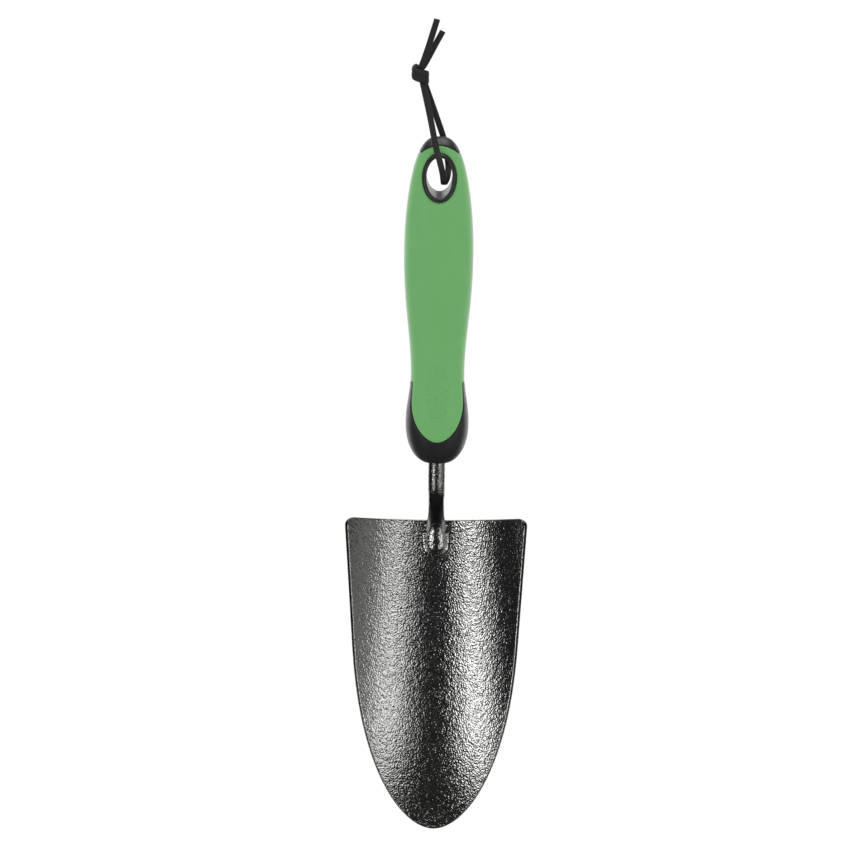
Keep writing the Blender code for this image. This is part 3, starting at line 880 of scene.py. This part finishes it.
class Surface:
    """A node material on a Principled shader, in the object's own metres."""

    def __init__(self, name, roughness, metallic=0.0, specular=0.5):
        self.material = bpy.data.materials.new(name)
        self.material.use_nodes = True
        self.tree = self.material.node_tree
        self.shader = self.tree.nodes["Principled BSDF"]
        self.shader.inputs["Roughness"].default_value = roughness
        self.shader.inputs["Metallic"].default_value = metallic
        self.shader.inputs["Specular IOR Level"].default_value = specular
        self.place = self.node("ShaderNodeTexCoord").outputs["Object"]

    def node(self, kind, inputs=None, **settings):
        made = self.tree.nodes.new(kind)
        for name, value in settings.items():
            setattr(made, name, value)
        for name, value in (inputs or {}).items():
            if hasattr(value, "is_output"):
                self.tree.links.new(value, made.inputs[name])
            else:
                made.inputs[name].default_value = value
        return made

    def noise(self, size, detail=2.0, rough=0.5):
        inputs = {"Vector": self.place, "Scale": 1.0 / size, "Detail": detail, "Roughness": rough}
        return self.node("ShaderNodeTexNoise", inputs).outputs["Fac"]

    def cells(self, size, smoothness):
        inputs = {"Vector": self.place, "Scale": 1.0 / size, "Smoothness": smoothness}
        return self.node("ShaderNodeTexVoronoi", inputs, feature="SMOOTH_F1").outputs["Distance"]

    def remap(self, value, from_low, from_high, to_low=0.0, to_high=1.0):
        inputs = {
            "Value": value,
            "From Min": from_low,
            "From Max": from_high,
            "To Min": to_low,
            "To Max": to_high,
        }
        made = self.node("ShaderNodeMapRange", inputs, interpolation_type="SMOOTHSTEP")
        return made.outputs["Result"]

    def math(self, operation, first, second):
        made = self.node("ShaderNodeMath", operation=operation)
        for socket, value in zip(made.inputs, (first, second)):
            if hasattr(value, "is_output"):
                self.tree.links.new(value, socket)
            else:
                socket.default_value = value
        return made.outputs["Value"]

    def blend_colour(self, factor, low, high):
        made = self.node("ShaderNodeMix", data_type="RGBA")
        self.tree.links.new(factor, made.inputs[0])
        for socket, colour in zip(made.inputs[6:8], (low, high)):
            if hasattr(colour, "is_output"):
                self.tree.links.new(colour, socket)
            else:
                socket.default_value = (*colour, 1.0)
        return made.outputs[2]

    def feed(self, name, value):
        self.tree.links.new(value, self.shader.inputs[name])

    def bump(self, height, distance):
        made = self.node("ShaderNodeBump", {"Height": height, "Distance": distance, "Strength": 1.0})
        self.feed("Normal", made.outputs["Normal"])


def hammered_steel():
    """Black hammered paint: a glossy, closely rippled finish with small pits whose base colour is
    darkened as painted shade, and darker on the sheet's edge wall.
    """
    paint = Surface("hammered_paint", 0.1, metallic=1.0)
    ripple = paint.noise(0.7 * MM, detail=0.5)
    swell = paint.noise(2.2 * MM, detail=0.0)
    pits = paint.remap(paint.cells(1.3 * MM, smoothness=0.05), 0.04, 0.4)
    height = paint.math("ADD", ripple, paint.math("MULTIPLY", swell, 0.5))
    height = paint.math("ADD", height, paint.math("MULTIPLY", pits, 0.25))
    edge = paint.node("ShaderNodeAttribute", attribute_name=EDGE_NAME).outputs["Fac"]
    # Painted shade: the base colour is darker in the hollows of the pits.
    pit_shaded_paint = paint.blend_colour(pits, (0.22, 0.22, 0.213), (0.40, 0.40, 0.388))
    # The sheet's edge wall gets a darker base colour.
    paint.feed("Base Color", paint.blend_colour(edge, pit_shaded_paint, (0.05, 0.05, 0.05)))
    paint.feed("Roughness", paint.remap(paint.noise(4.0 * MM), 0.3, 0.7, 0.08, 0.13))
    paint.bump(height, 0.16 * MM)
    return paint.material


def black_moulding():
    """Satin black plastic with a fine moulded grain."""
    plastic = Surface("satin_plastic", 0.42, specular=0.62)
    shade = plastic.noise(7.0 * MM)
    dark, light = (0.011, 0.011, 0.0112), (0.016, 0.016, 0.0162)
    plastic.feed("Base Color", plastic.blend_colour(shade, dark, light))
    plastic.feed("Roughness", plastic.remap(plastic.noise(1.2 * MM), 0.3, 0.7, 0.38, 0.48))
    plastic.bump(plastic.noise(0.35 * MM, detail=1.0), 0.012 * MM)
    return plastic.material


def green_rubber():
    """Matte soft-touch rubber with a very fine grain."""
    rubber = Surface("soft_touch_green", 0.6, specular=0.4)
    rubber.shader.inputs["Sheen Weight"].default_value = 0.65
    rubber.shader.inputs["Sheen Roughness"].default_value = 0.35
    shade = rubber.noise(9.0 * MM, detail=3.0)
    dark, light = (0.116, 0.358, 0.104), (0.134, 0.388, 0.12)
    rubber.feed("Base Color", rubber.blend_colour(shade, dark, light))
    rubber.feed("Roughness", rubber.remap(rubber.noise(0.9 * MM), 0.3, 0.7, 0.56, 0.66))
    rubber.bump(rubber.noise(0.4 * MM, detail=2.0), 0.02 * MM)
    return rubber.material


def black_lace():
    """Dull black lace with a cut leather grain."""
    lace = Surface("lace_leather", 0.6, specular=0.4)
    grain = lace.noise(0.5 * MM, detail=4.0, rough=0.6)
    lace.feed("Base Color", lace.blend_colour(grain, (0.006, 0.006, 0.006), (0.02, 0.02, 0.019)))
    lace.feed("Roughness", lace.remap(grain, 0.3, 0.7, 0.5, 0.75))
    lace.bump(grain, 0.06 * MM)
    return lace.material


def floor_paint():
    """Matte white paint with a faint mottle."""
    paper = Surface("studio_white", 0.9, specular=0.1)
    dark, light = (0.90, 0.90, 0.90), (0.92, 0.92, 0.92)
    paper.feed("Base Color", paper.blend_colour(paper.noise(0.4), dark, light))
    return paper.material


# ---------------------------------------------------------------- studio


def floor():
    """A wide white floor well under the trowel, which gloss doesn't see."""
    mesh = bpy.data.meshes.new("studio_floor")
    z = CAD_BOX[0].z - FLOOR_DROP
    corners = [(x * FLOOR_HALF, y * FLOOR_HALF, z) for x, y in ((-1, -1), (1, -1), (1, 1), (-1, 1))]
    mesh.from_pydata(corners, [], [(0, 1, 2, 3)])
    mesh.materials.append(floor_paint())
    obj = link(bpy.data.objects.new("studio_floor", mesh))
    obj.visible_glossy = False


def brightness(tree, value, limits):
    """A smooth rise in brightness as one component of the direction grows."""
    rise = tree.nodes.new("ShaderNodeMapRange")
    rise.interpolation_type = "SMOOTHSTEP"
    for name, limit in zip(("From Min", "From Max", "To Min", "To Max"), limits):
        rise.inputs[name].default_value = limit
    tree.links.new(value, rise.inputs["Value"])
    return rise.outputs["Result"]


def tent():
    """White all round for soft light; the gloss sees dark in front, and lighter behind and above."""
    world = bpy.data.worlds.new("light_tent")
    bpy.context.scene.world = world
    world.use_nodes = True
    tree = world.node_tree
    nodes, links = tree.nodes, tree.links
    white = nodes["Background"]
    white.inputs["Color"].default_value = (1.0, 1.0, 1.0, 1.0)
    white.inputs["Strength"].default_value = PAPER_WHITE
    seen = nodes.new("ShaderNodeBackground")
    seen.inputs["Color"].default_value = (1.0, 1.0, 1.0, 1.0)
    towards = nodes.new("ShaderNodeTexCoord")
    split = nodes.new("ShaderNodeSeparateXYZ")
    links.new(towards.outputs["Generated"], split.inputs["Vector"])
    brighter = nodes.new("ShaderNodeMath")
    brighter.operation = "MAXIMUM"
    links.new(brightness(tree, split.outputs["Y"], GLOSS_BEHIND), brighter.inputs[0])
    links.new(brightness(tree, split.outputs["Z"], GLOSS_ABOVE), brighter.inputs[1])
    links.new(brighter.outputs["Value"], seen.inputs["Strength"])
    gloss = nodes.new("ShaderNodeLightPath")
    choose = nodes.new("ShaderNodeMixShader")
    links.new(gloss.outputs["Is Glossy Ray"], choose.inputs["Fac"])
    links.new(white.outputs["Background"], choose.inputs[1])
    links.new(seen.outputs["Background"], choose.inputs[2])
    links.new(choose.outputs["Shader"], nodes["World Output"].inputs["Surface"])


def soft_box(name, azimuths, elevations, radiance, distance):
    """A lit panel that fills a range of directions from the blade's middle, for the gloss alone."""
    focus = (blade_low + blade_high) / 2.0
    azimuth = math.radians(sum(azimuths) / 2.0)
    elevation = math.radians(sum(elevations) / 2.0)
    half_width = math.radians(azimuths[1] - azimuths[0]) / 2.0
    half_height = math.radians(elevations[1] - elevations[0]) / 2.0
    towards = Vector((
        math.sin(azimuth) * math.cos(elevation),
        -math.cos(azimuth) * math.cos(elevation),
        math.sin(elevation),
    ))
    lamp = bpy.data.lights.new(name, "AREA")
    lamp.shape = "RECTANGLE"
    lamp.size = 2.0 * distance * math.tan(half_width)
    lamp.size_y = 2.0 * distance * math.tan(half_height)
    lamp.energy = radiance * math.pi * lamp.size * lamp.size_y
    obj = link(bpy.data.objects.new(name, lamp))
    obj.location = focus + towards * distance
    obj.rotation_mode = "QUATERNION"
    obj.rotation_quaternion = towards.to_track_quat("Z", "Y")
    obj.visible_camera = False
    obj.visible_diffuse = False


def soft_boxes():
    """A dim panel with a bright core on each side in front, a dim one far right, and two behind."""
    for name, settings in SOFT_BOXES.items():
        soft_box(name, *settings)


def camera():
    """A long lens in front of the trowel, a little above it and slightly rolled."""
    lens = bpy.data.cameras.new("camera")
    lens.lens = LENS
    lens.sensor_width = SENSOR
    lens.clip_start, lens.clip_end = CLIPPING
    obj = link(bpy.data.objects.new("camera", lens))
    back = Vector((0.0, -math.cos(VIEW_ELEVATION), math.sin(VIEW_ELEVATION)))
    level_up = Vector((0.0, math.sin(VIEW_ELEVATION), math.cos(VIEW_ELEVATION)))
    right = X_AXIS * math.cos(VIEW_ROLL) + level_up * math.sin(VIEW_ROLL)
    up = level_up * math.cos(VIEW_ROLL) - X_AXIS * math.sin(VIEW_ROLL)
    turn = Matrix((right, up, back)).transposed().to_4x4()
    obj.matrix_world = Matrix.Translation(VIEW_TARGET + back * VIEW_DISTANCE) @ turn
    bpy.context.scene.camera = obj


# ---------------------------------------------------------------- assembly


def build():
    """Every visible piece, with its material, body, CAD nodes and slot."""
    paint = hammered_steel()
    plastic = black_moulding()
    rubber = green_rubber()
    pieces = [
        (blade_sheet(), paint, "trowel", ["blade"], "hammered_steel"),
        (tang_body("tang_rod"), paint, "trowel", ["tang"], "hammered_steel"),
        (weld_fillet(), paint, "trowel", ["weld_bead"], "hammered_steel"),
        (hard_core(), plastic, "trowel", ["handle_core"], "black_moulding"),
        (soft_grip(), rubber, "trowel", ["soft_grip"], "green_grip"),
        (thumb_dots(), rubber, "trowel", ["soft_grip"], "green_grip"),
        (hang_lace(), black_lace(), "lace", ["hang_lace"], "black_lace"),
    ]
    for piece in pieces[:3]:
        hammer(piece[0])
    for piece in pieces:
        finish_piece(*piece)


build()
floor()
tent()
soft_boxes()
camera()
bpy.context.scene.view_settings.view_transform = "Standard"
